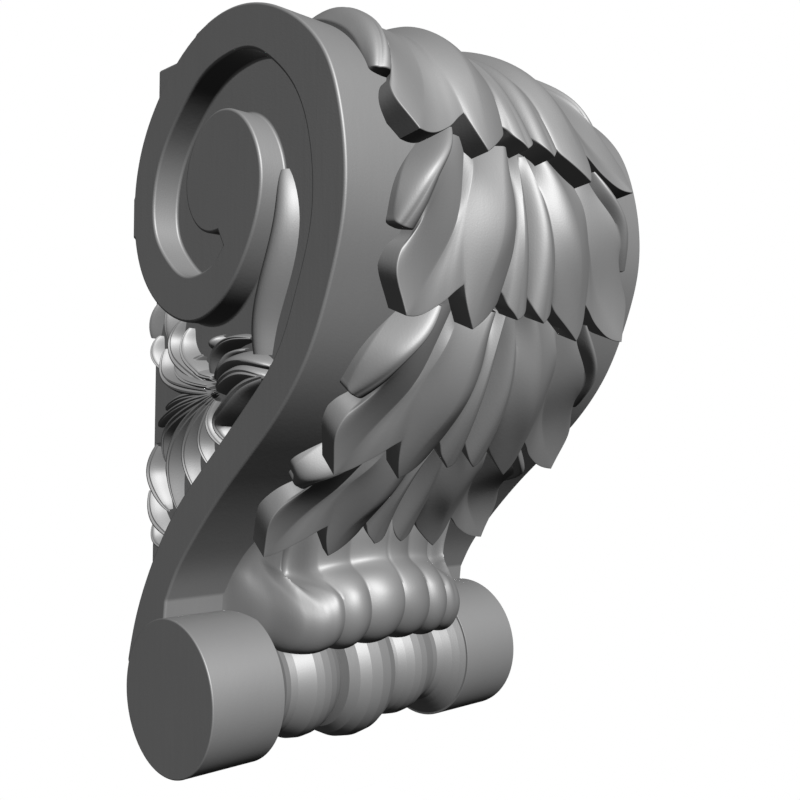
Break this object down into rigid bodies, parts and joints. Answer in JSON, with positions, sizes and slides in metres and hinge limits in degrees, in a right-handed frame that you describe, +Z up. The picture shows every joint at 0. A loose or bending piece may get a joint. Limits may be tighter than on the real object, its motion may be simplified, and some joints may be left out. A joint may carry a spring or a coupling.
{
  "type": "carved wooden corbel bracket",
  "caption": "Scroll-sided corbel with overlapping acanthus leaves down the front, a curled leaf end and a turned roll at the foot.",
  "frame": {"origin": "middle of the flat back, where the corbel meets the wall", "axes": "+Z up, +Y into the wall, the leaf front faces -Y, X runs across the width"},
  "size_m": [0.1776, 0.1458, 0.302],
  "materials": {
    "painted_wood": "smooth mid-grey satin paint"
  },
  "bodies": {
    "root": {"carved_bracket": "painted_wood"}
  },
  "joints": []
}
